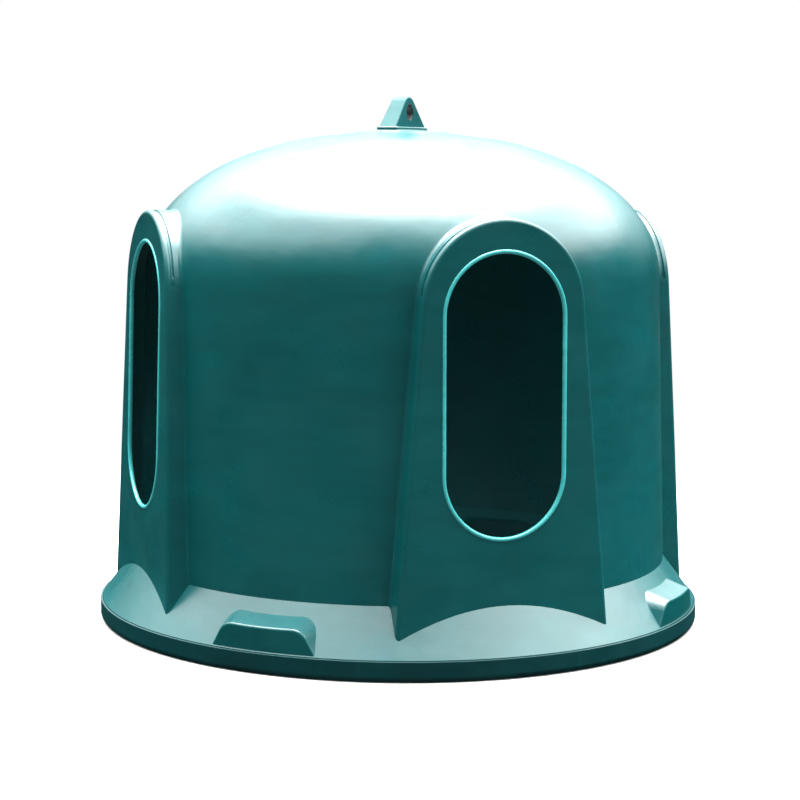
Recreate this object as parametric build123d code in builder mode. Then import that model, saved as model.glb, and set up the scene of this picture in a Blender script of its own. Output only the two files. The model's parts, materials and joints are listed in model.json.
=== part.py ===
from build123d import *
from math import atan, cos, radians, sin, tan
import os

# Hay feeder bell: a round, bottomless plastic bell that is set down over a bale.
# Four oval feeding openings sit in raised portals around it. Millimetres, +Z up.
# The origin is on the ground at the centre; the portals face -Y, +X, +Y and -X.

# ---- driving dimensions -------------------------------------------------------
wall = 8.0                  # moulded wall of the bell
sides = ("front", "right", "back", "left")  # a portal each, with a pad before the next
contact_gap = 0.3           # between curved faces of pieces that fit together

# profile of the bell, from the ground up (radii and heights of the outside)
rim_radius = 1000.0         # outside of the base rim, the widest size
rim_height = 64.0
rim_ledge = 8.0             # step from the rim in to the foot of the skirt
rim_floor = 24.0            # rim under the bell's foot
rim_edge = 18.0             # rounding of the rim's bottom edge
rim_top_edge = 2.5
foot_flange = 42.0          # width of the turned-in foot
foot_rise = 2.0             # upright foot that shows above the rim
barrel_foot_radius = 887.0
barrel_foot_height = 204.0
crown_radius = 855.0        # barrel where the dome begins
crown_height = 1126.0
dome_rise = 479.0
dome_round = 2.22           # superellipse powers of the dome, outward and upward
dome_full = 2.12

# portals: flat-faced arches that lean in a little
portal_face = 892.0         # distance of the face from the axis at the barrel's foot
portal_lean = 1.3           # degrees
portal_flare = 4.9          # degrees, each side below the arch
arch_margin = 67.0          # arch beyond the opening, each side
arch_drop = 37.0            # centre of the arch below the foot of the dome
portal_depth = 250.0
portal_edge = 13.0          # rounding of the face's edge
portal_blend = 14.0         # hollow rounding where a portal runs into the bell
groove_radius = 6.0         # half-round groove over the arch
groove_setback = 24.0       # groove behind the face
groove_start = 8.0          # degrees above the level of the arch's centre

# feeding openings and their push-on edge trims
opening_width = 386.0
opening_height = 853.0
opening_drop = 98.5         # top of the opening below the top of the arch
trim_lip = 8.0              # how far the lips cover the wall around the opening
trim_web = 5.0              # trim inside the opening
trim_thickness = 4.0        # each lip
trim_edge = 2.5

# stiffening pads on the skirt
pad_height = 138.0
pad_foot_width = 330.0
pad_top_width = 250.0
pad_corner = 45.0
pad_draft = 18.0            # degrees, top and sides widen towards the barrel
pad_edge = 8.0
pad_setback = 2.0           # pad's wall behind the foot

# lifting lug, its raised seat and its fixing
lug_turn = 45.0             # degrees, the lug's width from +X
lug_width = 236.0
lug_foot_thickness = 60.0
lug_top_thickness = 50.0
lug_height = 98.0
lug_edge = 4.0
hole_diameter = 50.0
sleeve_wall = 3.0
seat_margin = 9.0           # seat beyond the lug's foot, all round
seat_rise = 15.0            # seat above the crown
seat_depth = 14.0           # seat below the underside of the crown
seat_corner = 16.0
seat_edge = 5.0
seat_blend = 9.0            # hollow rounding where the seat meets the crown
stud_diameter = 12.0
stud_spacing = 150.0
stud_grip = 24.0            # stud inside the lug, and as much inside the seat

# countersunk screws that hold the rim to the bell's foot from below
rim_screws = 16
screw_diameter = 6.0
screw_head_diameter = 12.0
screw_recess = 2.0          # head above the ground
screw_socket = 4.0          # hexagon across flats
screw_tip = 3.0             # screw beyond the foot's flange

# ---- sizes that follow --------------------------------------------------------
foot_radius = rim_radius - rim_ledge
foot_top = rim_height + foot_rise
foot_inner_radius = foot_radius - foot_flange
dome_top = crown_height + dome_rise
arch_radius = opening_width / 2 + arch_margin
arch_height = crown_height - arch_drop
opening_centre = arch_height + arch_radius - opening_drop - opening_height / 2
seat_top = dome_top + seat_rise
seat_bottom = dome_top - wall - seat_depth
seat_length = lug_width + 2 * seat_margin
seat_width = lug_foot_thickness + 2 * seat_margin
portals = len(sides)
between = 180 / portals     # degrees, from a portal to the next pad
screw_circle = foot_inner_radius + foot_flange / 2
sleeve_radius = hole_diameter / 2 + sleeve_wall
hole_height = lug_height / 2
face_plane = Plane(
    origin=(0, -portal_face, barrel_foot_height),
    x_dir=(1, 0, 0),
    z_dir=(0, -cos(radians(portal_lean)), sin(radians(portal_lean))),
)
along_lug = Vector(cos(radians(lug_turn)), sin(radians(lug_turn)), 0)
across_lug = Vector(sin(radians(lug_turn)), -cos(radians(lug_turn)), 0)
lug_front = Plane((0, 0, seat_top), x_dir=along_lug, z_dir=across_lug)
lug_side = Plane((0, 0, seat_top), x_dir=across_lug, z_dir=-along_lug)


def on_face(height):
    """Distance up the leaning portal face of a point at this height."""
    return (height - barrel_foot_height) / cos(radians(portal_lean))


def dome_point(turn, start, rise):
    """Point of the dome's outline, from 0 degrees at the barrel to 90 at the top."""
    out = start.X * cos(radians(turn)) ** (2 / dome_round)
    up = start.Y + rise * sin(radians(turn)) ** (2 / dome_full)
    return (out, up)


# ---- the bell's form, made once for the outside and once for the inside --------
def turned_form(inset):
    """The bell without portals and pads, each face moved in by inset."""
    side = Polyline(
        (0, rim_floor), (foot_radius, rim_floor), (foot_radius, foot_top),
        (barrel_foot_radius, barrel_foot_height), (crown_radius, crown_height),
    )
    if inset:
        side = side.offset_2d(inset, Kind.INTERSECTION, Side.LEFT, closed=False)
    crown = side.vertices().sort_by(Axis.Y)[-1]
    rise = dome_top - inset - crown.Y
    up_barrel = (crown_radius - barrel_foot_radius, crown_height - barrel_foot_height)
    with BuildPart() as form:
        with BuildSketch(Plane.XZ):
            with BuildLine():
                add(side)
                dome = Spline(
                    [dome_point(turn, crown, rise) for turn in range(0, 91, 9)],
                    tangents=[up_barrel, (-1, 0)],
                )
                Line(dome @ 1, (0, rim_floor + inset))
            make_face()
        revolve(axis=Axis.Z)
    return form.part


def portal_form(inset):
    """One arched portal on the -Y side, each face moved in by inset."""
    flare = radians(portal_flare)
    radius = arch_radius - inset
    centre = on_face(arch_height)
    half_arch = radius * cos(flare)
    spring = centre + radius * sin(flare)
    bottom = on_face(foot_top + inset)
    half_foot = half_arch + (spring - bottom) * sin(flare) / cos(flare)
    with BuildPart() as form:
        with BuildSketch(face_plane.offset(-inset)):
            with BuildLine():
                Polyline(
                    (-half_arch, spring), (-half_foot, bottom),
                    (half_foot, bottom), (half_arch, spring),
                )
                ThreePointArc((half_arch, spring), (0, centre + radius), (-half_arch, spring))
            make_face()
        extrude(amount=inset - portal_depth)
        if not inset:
            front = form.faces().sort_by(Axis.Y)[0]
            bottom_edge = front.edges().sort_by(Axis.Z)[0]
            fillet(front.edges() - [bottom_edge], portal_edge)
    return form.part


def pad_form(inset):
    """One stiffening pad on the -Y side of the skirt, each face moved in by inset."""
    side_inset = inset / cos(radians(pad_draft))
    top = pad_height - side_inset
    base = rim_floor + inset
    slope = (pad_foot_width - pad_top_width) / 2 / (pad_height - rim_height)
    half_top = pad_top_width / 2 - side_inset
    half_foot = half_top + slope * (top - base)
    with BuildPart() as form:
        with BuildSketch(Plane.XZ.offset(rim_radius)) as outline:
            with BuildLine():
                Polyline(
                    (-half_foot, base), (half_foot, base),
                    (half_top, top), (-half_top, top), close=True,
                )
            make_face()
            fillet(outline.vertices().group_by(Axis.Y)[-1], pad_corner)
        extrude(amount=barrel_foot_radius - rim_radius - wall, taper=-pad_draft)
        with Locations((0, 0, base)):
            Cylinder(
                foot_radius - pad_setback - inset, barrel_foot_height - base,
                align=(Align.CENTER, Align.CENTER, Align.MIN), mode=Mode.INTERSECT,
            )
        if not inset:
            front = form.faces().sort_by(Axis.Y)[0]
            bottom_edge = front.edges().sort_by(Axis.Z)[0]
            fillet(front.edges() - [bottom_edge], pad_edge)
    return form.part


def groove_form():
    """Half-round groove over one portal's arch, from spring to spring."""
    arch = Plane(
        face_plane.offset(-groove_setback).from_local_coords((0, on_face(arch_height), 0)),
        x_dir=face_plane.x_dir, z_dir=face_plane.z_dir,
    )
    spring = radians(groove_start)
    out = Vector(cos(spring), sin(spring), 0)
    along = Vector(-sin(spring), cos(spring), 0)
    section = Plane(
        arch.from_local_coords(out * arch_radius),
        x_dir=arch.from_local_coords(out) - arch.origin,
        z_dir=arch.from_local_coords(along) - arch.origin,
    )
    with BuildPart() as form:
        with BuildSketch(section):
            Circle(groove_radius)
        revolve(axis=Axis(arch.origin, arch.z_dir), revolution_arc=180 - 2 * groove_start)
    return form.part


def opening_slot(margin, mode=Mode.ADD):
    """Outline of a feeding opening, larger all round by margin."""
    return SlotOverall(
        opening_height + 2 * margin, opening_width + 2 * margin, rotation=90, mode=mode
    )


def on_opening(setback):
    """Plane at the middle of the -Y opening, this far behind the portal's face."""
    start = face_plane.offset(-setback)
    middle = start.from_local_coords((0, on_face(opening_centre), 0))
    return Plane(middle, x_dir=start.x_dir, z_dir=start.z_dir)


def on_crown(edge):
    """Is this edge where the seat rises out of the crown?"""
    return dome_top - wall < edge.center().Z < seat_top - contact_gap


def screw_form(gap):
    """One rim screw on the Z axis, or with a gap the hole for it."""
    shank = screw_diameter / 2 + gap
    head = screw_head_diameter / 2 + gap
    top = rim_floor + wall + screw_tip
    with BuildPart() as form:
        with BuildSketch(Plane.XZ):
            with BuildLine():
                Polyline(
                    (0, screw_recess), (head, screw_recess),
                    (shank, screw_recess + head - shank), (shank, top), (0, top), close=True,
                )
            make_face()
        revolve(axis=Axis.Z)
        if gap:
            Cylinder(head, screw_recess, align=(Align.CENTER, Align.CENTER, Align.MIN))
        else:
            with BuildSketch(Plane.XY.offset(screw_recess)):
                RegularPolygon(screw_socket / 2, 6, major_radius=False)
            extrude(amount=screw_socket / 2, mode=Mode.SUBTRACT)
    return form.part


def finish(piece, name):
    """Name a finished piece and write its file."""
    piece.label = name
    export_step(piece, f"parts/{name}.step")


os.makedirs("parts", exist_ok=True)
screw_places = PolarLocations(screw_circle, rim_screws, start_angle=180 / rim_screws)
stud_places = PolarLocations(stud_spacing / 2, 2, start_angle=lug_turn)
turned, portal, pad = turned_form(0), portal_form(0), pad_form(0)
turned_inside, portal_inside, pad_inside = turned_form(wall), portal_form(wall), pad_form(wall)
groove = groove_form()
screw, screw_hole = screw_form(0), screw_form(contact_gap)

# ---- bell shell: barrel, dome, portals, skirt and pads in one moulding ----------
with BuildPart() as inside:
    add(turned_inside)
    with PolarLocations(0, portals):
        add(portal_inside)
    with PolarLocations(0, portals, start_angle=between):
        add(pad_inside)

with BuildPart() as opening_cut:
    with BuildSketch(on_opening(-wall)):
        opening_slot(0)
    extrude(amount=-4 * wall)

with BuildPart() as bell_shell:
    add(turned)
    with PolarLocations(0, portals):
        add(portal)
    creases = bell_shell.edges(Select.NEW)
    fillet(creases.filter_by(lambda e: e.center().Z > barrel_foot_height + wall), portal_blend)
    with PolarLocations(0, portals, start_angle=between):
        add(pad)
    with PolarLocations(0, portals):
        add(groove, mode=Mode.SUBTRACT)
    add(inside.part, mode=Mode.SUBTRACT)
    with PolarLocations(0, portals):
        add(opening_cut.part, mode=Mode.SUBTRACT)
    # the foot is open inside its flange
    Cylinder(
        foot_inner_radius, rim_floor + wall, align=(Align.CENTER, Align.CENTER, Align.MIN),
        mode=Mode.SUBTRACT,
    )
    with screw_places:
        add(screw_hole, mode=Mode.SUBTRACT)
    # solid seat for the lug, flat above and below
    with BuildSketch(Plane.XY.offset(seat_bottom)):
        RectangleRounded(seat_length, seat_width, seat_corner, rotation=lug_turn)
    extrude(amount=seat_top - seat_bottom)
    fillet(bell_shell.edges(Select.NEW).filter_by(on_crown), seat_blend)
    fillet(bell_shell.faces().sort_by(Axis.Z)[-1].edges(), seat_edge)
    with BuildSketch(Plane.XY.offset(seat_top)):
        with stud_places:
            Circle(stud_diameter / 2 + contact_gap)
    extrude(amount=-(stud_grip + contact_gap), mode=Mode.SUBTRACT)
finish(bell_shell.part, "bell_shell")

# ---- base rim: heavy ring under the foot, with an upstand that hides the foot ----
with BuildPart() as base_rim:
    with BuildSketch(Plane.XZ):
        with BuildLine():
            Polyline(
                (foot_inner_radius, 0), (rim_radius, 0), (rim_radius, rim_height),
                (foot_radius + contact_gap, rim_height), (foot_radius + contact_gap, rim_floor),
                (foot_inner_radius, rim_floor), close=True,
            )
        make_face()
    revolve(axis=Axis.Z)
    outer_edges = base_rim.edges().filter_by(GeomType.CIRCLE).group_by(SortBy.RADIUS)[-1]
    fillet(outer_edges.sort_by(Axis.Z)[0], rim_edge)
    fillet(base_rim.faces().sort_by(Axis.Z)[-1].edges(), rim_top_edge)
    with screw_places:
        add(screw_hole, mode=Mode.SUBTRACT)
finish(base_rim.part, "base_rim")

with BuildPart() as screws:
    with screw_places:
        add(screw)
finish(screws.part, "rim_screws")

# ---- edge trims: a channel pushed over the wall's edge around each opening -------
for side, turn in zip(sides, range(0, 360, 360 // portals)):
    with BuildPart() as one_trim:
        with BuildSketch(on_opening(-trim_thickness)):
            opening_slot(trim_lip)
            opening_slot(-trim_web, Mode.SUBTRACT)
        extrude(amount=-(wall + 2 * trim_thickness))
        lips = one_trim.faces().filter_by(GeomType.PLANE).sort_by(Axis.Y)
        fillet(lips[0].edges() + lips[-1].edges(), trim_edge)
        with BuildSketch(on_opening(0)):
            opening_slot(2 * trim_lip)
            opening_slot(-contact_gap, Mode.SUBTRACT)
        extrude(amount=-wall, mode=Mode.SUBTRACT)
    with BuildPart() as trim:
        with Locations(Rotation(0, 0, turn)):
            add(one_trim.part)
    finish(trim.part, f"opening_trim_{side}")

# ---- lifting lug: solid block on the seat, with a lined hole across it -----------
foot_angle = 2 * atan(lug_height / lug_width)
with BuildPart() as lifting_lug:
    with BuildSketch(lug_front) as outline:
        with BuildLine():
            Polyline(
                (-lug_width / 2, 0), (lug_width / 2, 0), (0, lug_width / 2 * tan(foot_angle)),
                close=True,
            )
        make_face()
        fillet(outline.vertices().sort_by(Axis.Y)[-1], hole_height)
    extrude(amount=lug_foot_thickness / 2, both=True)
    with BuildSketch(lug_side):
        with BuildLine():
            Polyline(
                (-lug_foot_thickness / 2, 0), (lug_foot_thickness / 2, 0),
                (lug_top_thickness / 2, lug_height), (-lug_top_thickness / 2, lug_height),
                close=True,
            )
        make_face()
    extrude(amount=lug_width / 2, both=True, mode=Mode.INTERSECT)
    above = lifting_lug.edges().filter_by(lambda e: e.bounding_box().max.Z > seat_top + lug_edge)
    fillet(above.filter_by(lambda e: e.length > lug_foot_thickness), lug_edge)
    with BuildSketch(lug_front):
        with Locations((0, hole_height)):
            Circle(sleeve_radius + contact_gap)
    extrude(amount=lug_foot_thickness, both=True, mode=Mode.SUBTRACT)
    with BuildSketch(Plane.XY.offset(seat_top)):
        with stud_places:
            Circle(stud_diameter / 2 + contact_gap)
    extrude(amount=stud_grip + contact_gap, mode=Mode.SUBTRACT)
finish(lifting_lug.part, "lifting_lug")

# the sleeve ends flush with the lug at the top of the hole, where the lug is thinnest
draft = (lug_foot_thickness - lug_top_thickness) / lug_height
sleeve_length = lug_foot_thickness - draft * (hole_height + sleeve_radius + lug_edge)
with BuildPart() as lug_sleeve:
    with BuildSketch(lug_front):
        with Locations((0, hole_height)):
            Circle(sleeve_radius)
            Circle(hole_diameter / 2, mode=Mode.SUBTRACT)
    extrude(amount=sleeve_length / 2, both=True)
finish(lug_sleeve.part, "lug_sleeve")

# two steel studs hold the lug, each half in the lug and half in the seat
with BuildPart() as lug_studs:
    with BuildSketch(Plane.XY.offset(seat_top)):
        with stud_places:
            Circle(stud_diameter / 2)
    extrude(amount=stud_grip, both=True)
finish(lug_studs.part, "lug_studs")
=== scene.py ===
# %% [markdown]
# # A hay feeder bell
# The real object is one big plastic moulding: a bell two metres across that is set
# down over a bale. Cattle or horses eat through four oval openings. Its shape comes
# from CAD as a fixed frame, and this lesson works on how that frame looks.

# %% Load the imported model
import json
from math import asin, cos, pi, radians, sin

import bpy
from mathutils import Matrix, Vector


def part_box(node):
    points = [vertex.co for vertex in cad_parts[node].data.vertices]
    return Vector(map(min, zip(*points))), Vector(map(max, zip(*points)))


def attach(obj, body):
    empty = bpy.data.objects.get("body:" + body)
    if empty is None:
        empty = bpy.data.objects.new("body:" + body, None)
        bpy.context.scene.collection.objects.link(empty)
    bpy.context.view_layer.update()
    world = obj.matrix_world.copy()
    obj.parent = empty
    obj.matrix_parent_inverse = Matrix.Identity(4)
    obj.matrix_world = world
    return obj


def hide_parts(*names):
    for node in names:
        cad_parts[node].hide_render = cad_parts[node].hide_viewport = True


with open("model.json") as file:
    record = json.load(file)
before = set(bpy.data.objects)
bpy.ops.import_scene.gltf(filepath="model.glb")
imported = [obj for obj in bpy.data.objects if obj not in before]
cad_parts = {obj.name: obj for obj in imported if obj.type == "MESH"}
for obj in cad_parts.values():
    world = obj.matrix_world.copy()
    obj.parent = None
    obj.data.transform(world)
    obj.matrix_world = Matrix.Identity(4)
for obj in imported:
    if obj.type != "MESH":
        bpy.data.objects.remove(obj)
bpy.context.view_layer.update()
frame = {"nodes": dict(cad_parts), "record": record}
nodes = frame["nodes"]
slot_of = {part["node"]: part["material_slot"] for part in frame["record"]["subparts"]}
print("nodes:", sorted(nodes))

# %% [markdown]
# The sizes that the later steps need come from the frame, so the looks follow the CAD
# if it ever changes. The rim, the widest piece, gives the radius.

# %% Size taken from the frame
rim_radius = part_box("base_rim")[1].x
print(f"radius {rim_radius:.3f} m")

# %% [markdown]
# The camera stands at eye height, a little over six and a half metres away, with a
# long lens. It looks slightly down on the bell, between a portal and a pad. A roll
# turns the camera about its own line of sight, so it is the first factor to act.

# %% Camera
CAMERA_DISTANCE = 6.778
CAMERA_HEIGHT = 1.5365
CAMERA_TURN = radians(-20.75)
CAMERA_PITCH = radians(6.944)
CAMERA_ROLL = radians(0.5)
CAMERA_LENS = 91.49         # in millimetres, on the sensor below
SENSOR_WIDTH = 36
FARTHEST_SEEN = 200         # metres

camera_data = bpy.data.cameras.new("camera")
camera_data.lens = CAMERA_LENS
camera_data.sensor_width = SENSOR_WIDTH
camera_data.clip_end = FARTHEST_SEEN
camera = bpy.data.objects.new("camera", camera_data)
bpy.context.scene.collection.objects.link(camera)
stand = Vector((sin(CAMERA_TURN), -cos(CAMERA_TURN), 0)) * CAMERA_DISTANCE
stand.z = CAMERA_HEIGHT
camera.matrix_world = (
    Matrix.Translation(stand)
    @ Matrix.Rotation(CAMERA_TURN, 4, "Z")
    @ Matrix.Rotation(pi / 2 - CAMERA_PITCH, 4, "X")
    @ Matrix.Rotation(CAMERA_ROLL, 4, "Z")
)
bpy.context.scene.camera = camera
bpy.context.scene.view_settings.view_transform = "Standard"
print("camera at", [round(v, 3) for v in camera.matrix_world.translation])

# %% [markdown]
# Lights and finishes are small sums on numbers: a height, a noise, a mask. Written
# as nodes they would be long, so one class lets Python's own arithmetic add the
# Math nodes, and one function adds any other node.

# %% Socket maths
class Wire:
    """An output socket that understands Python's arithmetic."""

    def __init__(self, tree, socket):
        self.tree, self.socket = tree, socket

    def maths(self, operation, *values):
        """A Math node on these values."""
        settings = {"operation": operation}
        return make(self.tree, "ShaderNodeMath", settings, dict(enumerate(values)))

    def __add__(self, other):
        return self.maths("ADD", self, other)

    def __radd__(self, other):
        return self.maths("ADD", other, self)

    def __sub__(self, other):
        return self.maths("SUBTRACT", self, other)

    def __rsub__(self, other):
        return self.maths("SUBTRACT", other, self)

    def __mul__(self, other):
        return self.maths("MULTIPLY", self, other)

    def __rmul__(self, other):
        return self.maths("MULTIPLY", other, self)

    def clamped(self):
        """The value held between 0 and 1."""
        return make(self.tree, "ShaderNodeClamp", None, {"Value": self})

    def stretched(self, low, high, to_low=0.0, to_high=1.0):
        """The value moved smoothly from one range to another, and held inside it."""
        inputs = {"Value": self, "From Min": low, "From Max": high,
                  "To Min": to_low, "To Max": to_high}
        settings = {"interpolation_type": "SMOOTHSTEP"}
        return make(self.tree, "ShaderNodeMapRange", settings, inputs)

    def into(self, node, socket):
        """Lead this output into a node's input."""
        self.tree.links.new(self.socket, node.inputs[socket])


def make(tree, kind, settings=None, inputs=None, output=0):
    """Add a node, set it up, feed its sockets, and return one of its outputs."""
    node = tree.nodes.new(kind)
    for name, value in (settings or {}).items():
        setattr(node, name, value)
    for name, value in (inputs or {}).items():
        if isinstance(value, Wire):
            value.into(node, name)
        else:
            node.inputs[name].default_value = value
    return Wire(tree, node.outputs[output])


# %% [markdown]
# Satin plastic shows the room more than its own colour. A large bright ceiling
# whitens the crown and lightens the sloping skirt, while the dim horizon leaves the
# upright walls deep green. A lamp would do the same with hard edges, so the ceiling
# is painted into the world as a gradient of the direction, with a weaker glow low
# behind the bell and one on its right. Only what the camera sees stays plain white.
#
# Gloss and colour need different light. Rays that a rough surface scatters show the
# plastic's own colour, so they get less of the ceiling's hot part, none of the glow
# behind, and a little soft light from below and all round. Each pair of numbers says
# where a light starts and where it is full, as the cosine towards a direction.

# %% World light
CEILING = 6.6               # brightness overhead
CEILING_EDGE = 0.77, 0.98
SPREAD_ASIDE = 0.42         # how much lower it reaches on the left and the right
SPREAD_AHEAD = 0.3          # and beyond the bell
HOT_CEILING = 38.0          # more of it, a little beyond straight above
HOT_TILT = radians(16)
HOT_EDGE = 0.8, 1.0
HOT_SCATTERED = 0.4         # the share of the hot part that scattered rays get
SIDE_GLOW = 4.5
SIDE_REACH, SIDE_RISE = (0.25, 0.75), (0.3, 0.6)
BACK_GLOW = 2.2
BACK_REACH, BACK_RISE = (0.4, 0.9), (0.05, 0.4)
HORIZON = 0.04
GROUND = 0.005
HORIZON_EDGE = -0.05, 0.2
GROUND_BOUNCE = 0.7         # for scattered rays only
BOUNCE_EDGE = 0.0, -0.2
SOFT_FILL = 0.08            # for scattered rays only, from every side

world = bpy.data.worlds.new("studio")
bpy.context.scene.world = world
world.use_nodes = True
sky = world.node_tree
sky.nodes.clear()
direction = make(sky, "ShaderNodeTexCoord", output="Generated")
right_of_camera = Vector((cos(CAMERA_TURN), sin(CAMERA_TURN), 0))
ahead_of_camera = Vector((-sin(CAMERA_TURN), cos(CAMERA_TURN), 0))
zenith = Vector((0, 0, 1))


def towards(axis):
    """How far the world's direction points along an axis, from -1 to 1."""
    settings = {"operation": "DOT_PRODUCT"}
    return make(sky, "ShaderNodeVectorMath", settings, {0: direction, 1: axis}, "Value")


up = towards(zenith)
right = towards(right_of_camera)
ahead = towards(ahead_of_camera)
hot = towards(zenith * cos(HOT_TILT) + ahead_of_camera * sin(HOT_TILT))
scattered = make(sky, "ShaderNodeLightPath", output="Is Diffuse Ray")
beyond = SPREAD_AHEAD * (1 - scattered) * ahead.clamped()
spread = up + SPREAD_ASIDE * right.maths("ABSOLUTE", right) + beyond
dimmed = 1 - (1 - HOT_SCATTERED) * scattered
above = CEILING * spread.stretched(*CEILING_EDGE)
above = above + HOT_CEILING * dimmed * hot.stretched(*HOT_EDGE)
side = SIDE_GLOW * right.stretched(*SIDE_REACH) * up.stretched(*SIDE_RISE)
behind = BACK_GLOW * (1 - scattered) * ahead.stretched(*BACK_REACH)
behind = behind * up.stretched(*BACK_RISE)
around = GROUND + (HORIZON - GROUND) * up.stretched(*HORIZON_EDGE)
below = GROUND_BOUNCE * scattered * up.stretched(*BOUNCE_EDGE)
lighting = around + above + side + behind + below + SOFT_FILL * scattered
seen = make(sky, "ShaderNodeLightPath", output="Is Camera Ray")
strength = lighting * (1 - seen) + seen
white = (1, 1, 1, 1)
glow = make(sky, "ShaderNodeBackground", None, {"Color": white, "Strength": strength})
glow.into(sky.nodes.new("ShaderNodeOutputWorld"), "Surface")

# %% [markdown]
# The floor is a pale disc that fades out before its edge, so that no horizon shows.
# It takes the bell's shadow and nothing else: its own reflection would grey the dark
# walls, so it is hidden from the rays that leave the bell. From below it is clear, so
# that the rim's underside shows.

# %% Floor
FLOOR_RADIUS = 7.0
FLOOR_COLOUR = 0.36, 0.36, 0.355
FADE_START, FADE_END = 1.5, 4       # in rim radii

bpy.ops.object.select_all(action="DESELECT")
bpy.ops.mesh.primitive_circle_add(vertices=128, radius=FLOOR_RADIUS, fill_type="NGON")
floor = bpy.context.active_object
floor.name = "floor"
floor.visible_glossy = False
floor.visible_diffuse = False
paint = bpy.data.materials.new("floor_paint")
paint.use_nodes = True
floor_shader = paint.node_tree.nodes["Principled BSDF"]
floor_shader.inputs["Base Color"].default_value = (*FLOOR_COLOUR, 1)
floor_shader.inputs["Roughness"].default_value = 0.9
floor_shader.inputs["Specular IOR Level"].default_value = 0.1
spot = make(paint.node_tree, "ShaderNodeTexCoord", output="Object")
settings = {"operation": "LENGTH"}
far = make(paint.node_tree, "ShaderNodeVectorMath", settings, {0: spot}, "Value")
fade = far.stretched(FADE_START * rim_radius, FADE_END * rim_radius, 1, 0)
below_floor = make(paint.node_tree, "ShaderNodeNewGeometry", output="Backfacing")
(fade * (1 - below_floor)).into(floor_shader, "Alpha")
floor.data.materials.append(paint)

# %% [markdown]
# The bell is rotationally moulded polyethylene. Powder melts against the mould, so
# the colour is a little cloudy, the gloss is uneven, and the skin has a fine orange
# peel over a slow waviness. Wear is light: pale scuffs low down where it is dragged
# and a few long fine scratches. Each finish is the same recipe with its own numbers.

# %% Moulded plastic
def plastic(name, light, dark, scuff, gloss, rough, peel):
    """Moulded polyethylene: cloudy colour, uneven gloss, orange peel, light wear."""
    material = bpy.data.materials.new(name)
    material.use_nodes = True
    tree = material.node_tree
    shader = tree.nodes["Principled BSDF"]
    shader.inputs["Specular IOR Level"].default_value = gloss
    where = make(tree, "ShaderNodeTexCoord", output="Object")

    def noise(scale, detail, grain=0.5, stretch=(1, 1, 1)):
        inputs = {"Vector": where, "Scale": stretch}
        mapped = make(tree, "ShaderNodeMapping", None, inputs)
        inputs = {"Vector": mapped, "Scale": scale, "Detail": detail, "Roughness": grain}
        return make(tree, "ShaderNodeTexNoise", None, inputs)

    def blend(factor, low, high):
        inputs = {"Factor": factor, "A": low, "B": high}
        return make(tree, "ShaderNodeMix", {"data_type": "RGBA"}, inputs, output="Result")

    cloud = noise(2.3, 4).stretched(0.3, 0.7)
    streak = noise(5.0, 4, 0.6, (1, 1, 4.5)).stretched(0.3, 0.7)
    mottle = (cloud * 0.6 + streak * 0.4).clamped()
    height = make(tree, "ShaderNodeSeparateXYZ", None, {0: where}, output="Z")
    low_down = height.stretched(0.05, 0.45, 1, 0)
    scratch = noise(30, 2, 0.5, (1, 1, 0.08)).stretched(0.62, 0.8)
    rubbed = noise(6, 3, 0.6).stretched(0.5, 0.8)
    worn = ((scratch * 0.5 + rubbed * 0.5) * (0.12 + low_down * 0.38)).clamped()
    colour = blend(mottle, (*dark, 1), (*light, 1))
    blend(worn, colour, (*scuff, 1)).into(shader, "Base Color")
    uneven = (noise(7, 3) - 0.5) * 0.2 + worn * 0.1
    (rough + uneven).into(shader, "Roughness")
    skin = noise(90, 1) * 0.25 + noise(30, 2) * 0.6 + noise(5, 2) * 6.0
    inputs = {"Strength": peel, "Distance": 0.0015, "Height": skin}
    make(tree, "ShaderNodeBump", None, inputs, "Normal").into(shader, "Normal")
    return material


# %% Zinc plated steel
def galvanised(name, light, dark):
    """Dull zinc plating: spangled patches under a dark patina."""
    material = bpy.data.materials.new(name)
    material.use_nodes = True
    tree = material.node_tree
    shader = tree.nodes["Principled BSDF"]
    shader.inputs["Metallic"].default_value = 0.85
    where = make(tree, "ShaderNodeTexCoord", output="Object")
    inputs = {"Vector": where, "Scale": 160.0}
    spangle = make(tree, "ShaderNodeTexVoronoi", None, inputs, output="Distance")
    inputs = {"Vector": where, "Scale": 70.0, "Detail": 5.0}
    patina = make(tree, "ShaderNodeTexNoise", None, inputs)
    mix = (spangle * 0.5 + patina * 0.6).clamped()
    inputs = {"Factor": mix, "A": (*dark, 1), "B": (*light, 1)}
    colour = make(tree, "ShaderNodeMix", {"data_type": "RGBA"}, inputs, output="Result")
    colour.into(shader, "Base Color")
    (0.38 + patina * 0.25).into(shader, "Roughness")
    inputs = {"Strength": 0.25, "Distance": 0.0004, "Height": patina + spangle * 0.4}
    make(tree, "ShaderNodeBump", None, inputs, "Normal").into(shader, "Normal")
    return material


# %% Finishes by slot
# light and dark patches, then the scuffs
SHELL_COLOURS = (0.0013, 0.069, 0.072), (0.0006, 0.049, 0.052), (0.01, 0.1, 0.1)
RIM_COLOURS = (0.0004, 0.034, 0.037), (0.0002, 0.023, 0.025), (0.005, 0.055, 0.055)
# the beads are far paler than the shell: this lightness is painted sheen, standing in for
# the highlights that the round bead catches
TRIM_COLOURS_PAINTED_SHEEN = (0.05, 0.4, 0.4), (0.03, 0.28, 0.28), (0.12, 0.5, 0.5)
finishes = {
    "shell_plastic": plastic("shell_plastic", *SHELL_COLOURS, 0.5, 0.3, 0.3),
    "rim_plastic": plastic("rim_plastic", *RIM_COLOURS, 0.2, 0.42, 0.4),
    "trim_plastic": plastic("trim_plastic", *TRIM_COLOURS_PAINTED_SHEEN, 0.7, 0.26, 0.2),
    "zinc_steel": galvanised("zinc_steel", (0.2, 0.21, 0.21), (0.07, 0.075, 0.08)),
}
for name, node in nodes.items():
    for slot in node.material_slots:
        slot.material = finishes[slot_of[name]]
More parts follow.
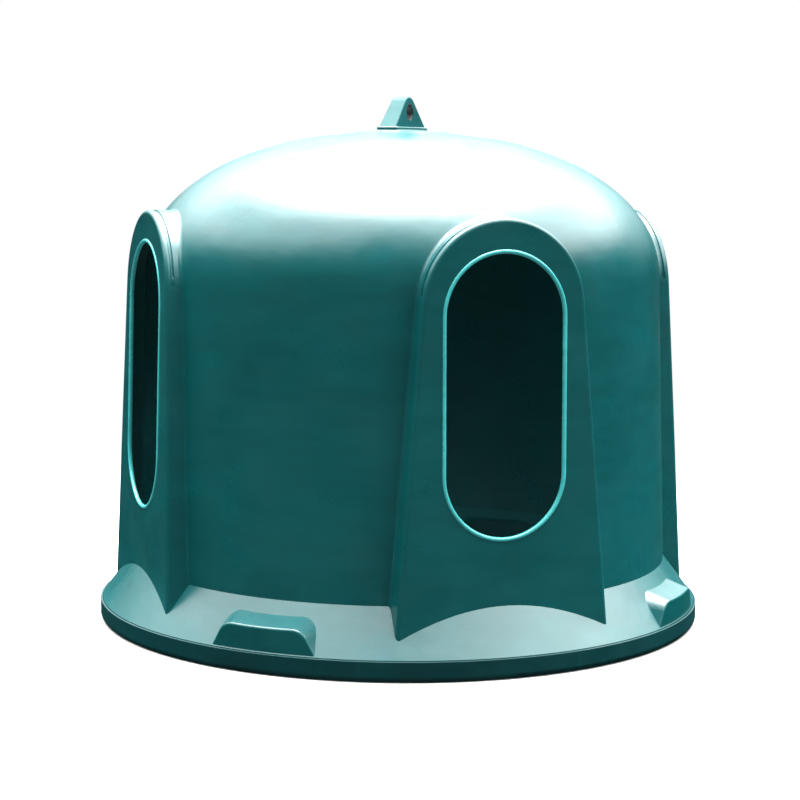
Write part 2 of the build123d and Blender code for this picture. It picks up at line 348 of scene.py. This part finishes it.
# hooks and chains have dulled the lug, so it shows less of the ceiling than the shell
dulled = plastic("dulled_plastic", *SHELL_COLOURS, 0.13, 0.5, 0.5)
for slot in nodes["lifting_lug"].material_slots:
    slot.material = dulled
print("finishes:", sorted(finishes))

# %% [markdown]
# Each feeding opening has a soft edging pushed over the wall, so that no animal rubs
# on a cut edge. In CAD it is a plain channel. The real one is a round bead, which
# catches a thin line of light. A circle is spun half a turn over the top, drawn down
# one side, spun under the bottom and bridged back up the other side.

# %% Opening beads
TRIM_DEPTH = 0.016          # the CAD trim, measured through the wall
BEAD_RADIUS = 0.007
BEAD_SIDES = 16
SPIN_STEPS = 40


def select_near(bead, place, reach):
    """Select a bead's points within reach of a place, as well as those selected now."""
    bpy.ops.object.mode_set(mode="OBJECT")
    for point in bead.data.vertices:
        if (point.co - place).length < reach:
            point.select = True
    for edge in bead.data.edges:
        edge.select = all(bead.data.vertices[i].select for i in edge.vertices)
    bpy.ops.object.mode_set(mode="EDIT")


def front_bead():
    """The bead around the front opening, along the middle of the wall."""
    low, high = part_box("opening_trim_front")
    middle = (low + high) / 2
    width, depth, height = high - low
    lean = asin((depth - TRIM_DEPTH) / height)
    bend = width / 2 - BEAD_RADIUS
    straight = height / cos(lean) - width
    side = Vector((bend, 0, straight / 2))
    bpy.ops.object.select_all(action="DESELECT")
    bpy.ops.mesh.primitive_circle_add(
        vertices=BEAD_SIDES, radius=BEAD_RADIUS, location=side
    )
    bead = bpy.context.active_object
    bpy.ops.object.transform_apply(location=True)
    bpy.ops.object.mode_set(mode="EDIT")
    bpy.ops.mesh.select_all(action="SELECT")
    over, under = (0, 0, straight / 2), (0, 0, -straight / 2)
    bpy.ops.mesh.spin(steps=SPIN_STEPS, angle=pi, center=over, axis=(0, 1, 0))
    drop = {"value": (0, 0, -straight)}
    bpy.ops.mesh.extrude_region_move(TRANSFORM_OT_translate=drop)
    bpy.ops.mesh.spin(steps=SPIN_STEPS, angle=pi, center=under, axis=(0, 1, 0))
    select_near(bead, side, 2 * BEAD_RADIUS)
    bpy.ops.mesh.bridge_edge_loops()
    bpy.ops.mesh.select_all(action="SELECT")
    bpy.ops.mesh.remove_doubles(threshold=1e-5)
    bpy.ops.mesh.normals_make_consistent(inside=False)
    bpy.ops.object.mode_set(mode="OBJECT")
    bead.rotation_euler.x = -lean
    bead.location = middle
    bpy.ops.object.transform_apply(location=True, rotation=True)
    bpy.ops.object.shade_smooth()
    return bead


first_bead = front_bead()
for turns, side in enumerate(("front", "right", "back", "left")):
    bead = first_bead.copy()
    bead.data = first_bead.data.copy()
    bead.data.transform(Matrix.Rotation(turns * pi / 2, 4, "Z"))
    bead.name = f"opening_bead_{side}"
    bpy.context.scene.collection.objects.link(bead)
    # the bead's pale finish carries painted sheen in its colour
    bead.data.materials.append(finishes["trim_plastic"])
    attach(bead, "root")
    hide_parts(f"opening_trim_{side}")
    corners = [bead.matrix_world @ Vector(corner) for corner in bead.bound_box]
    print(bead.name, "from", [round(v, 3) for v in corners[0]])
bpy.data.objects.remove(first_bead)
